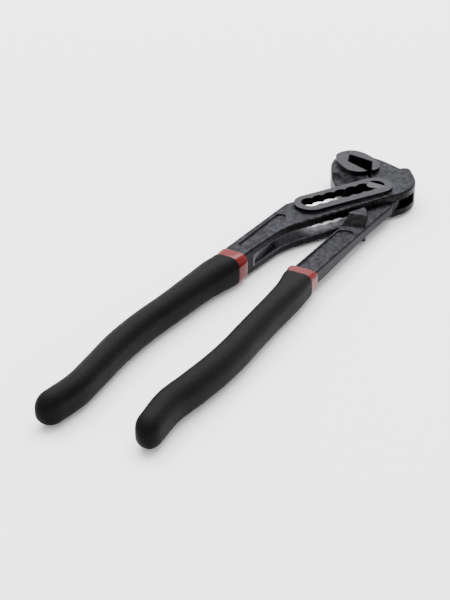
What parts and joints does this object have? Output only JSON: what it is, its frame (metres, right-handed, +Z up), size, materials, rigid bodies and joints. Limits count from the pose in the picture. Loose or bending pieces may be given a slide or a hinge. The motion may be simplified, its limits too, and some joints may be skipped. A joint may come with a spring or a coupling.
{
  "type": "tongue and groove pliers",
  "caption": "Box-joint tongue and groove pliers with a toothed adjustment slot, angled serrated jaws, black steel legs and dipped grips with red collars.",
  "frame": {"origin": "centre of the underside of the closed tool's box, on the surface that it lies on", "axes": "+Z up out of the tool's flat side, +Y from the handles to the jaws, +X towards the inner leg's handle"},
  "size_m": [0.0528, 0.2518, 0.0145],
  "materials": {
    "leg_steel": "black phosphated forged steel, satin, ground brighter on the rims and jaw pads",
    "pin_steel": "phosphated, ground end faces",
    "ring_steel": "spring steel, oiled",
    "undercoat": "glossy dipped vinyl",
    "grip": "matt dipped vinyl with a fine leathery skin"
  },
  "bodies": {
    "slotted_leg": {"outer_leg": "leg_steel", "outer_undercoat": "undercoat", "outer_grip": "grip"},
    "slot_rider": {"snap_ring": "ring_steel"},
    "swinging_leg": {"inner_leg": "leg_steel", "pivot_pin": "pin_steel", "inner_undercoat": "undercoat", "inner_grip": "grip"}
  },
  "joints": [
    {"name": "notch_slide", "type": "slide", "parent": "slotted_leg", "child": "slot_rider", "axis": [-0.5, -0.866, 0], "range_m": [0, 0.03528]},
    {"name": "leg_pivot", "type": "hinge", "parent": "slot_rider", "child": "swinging_leg", "pos_m": [0.00965, 0.09464, 0.00725], "axis": [0, 0, 1], "range_deg": [0, 50]}
  ]
}
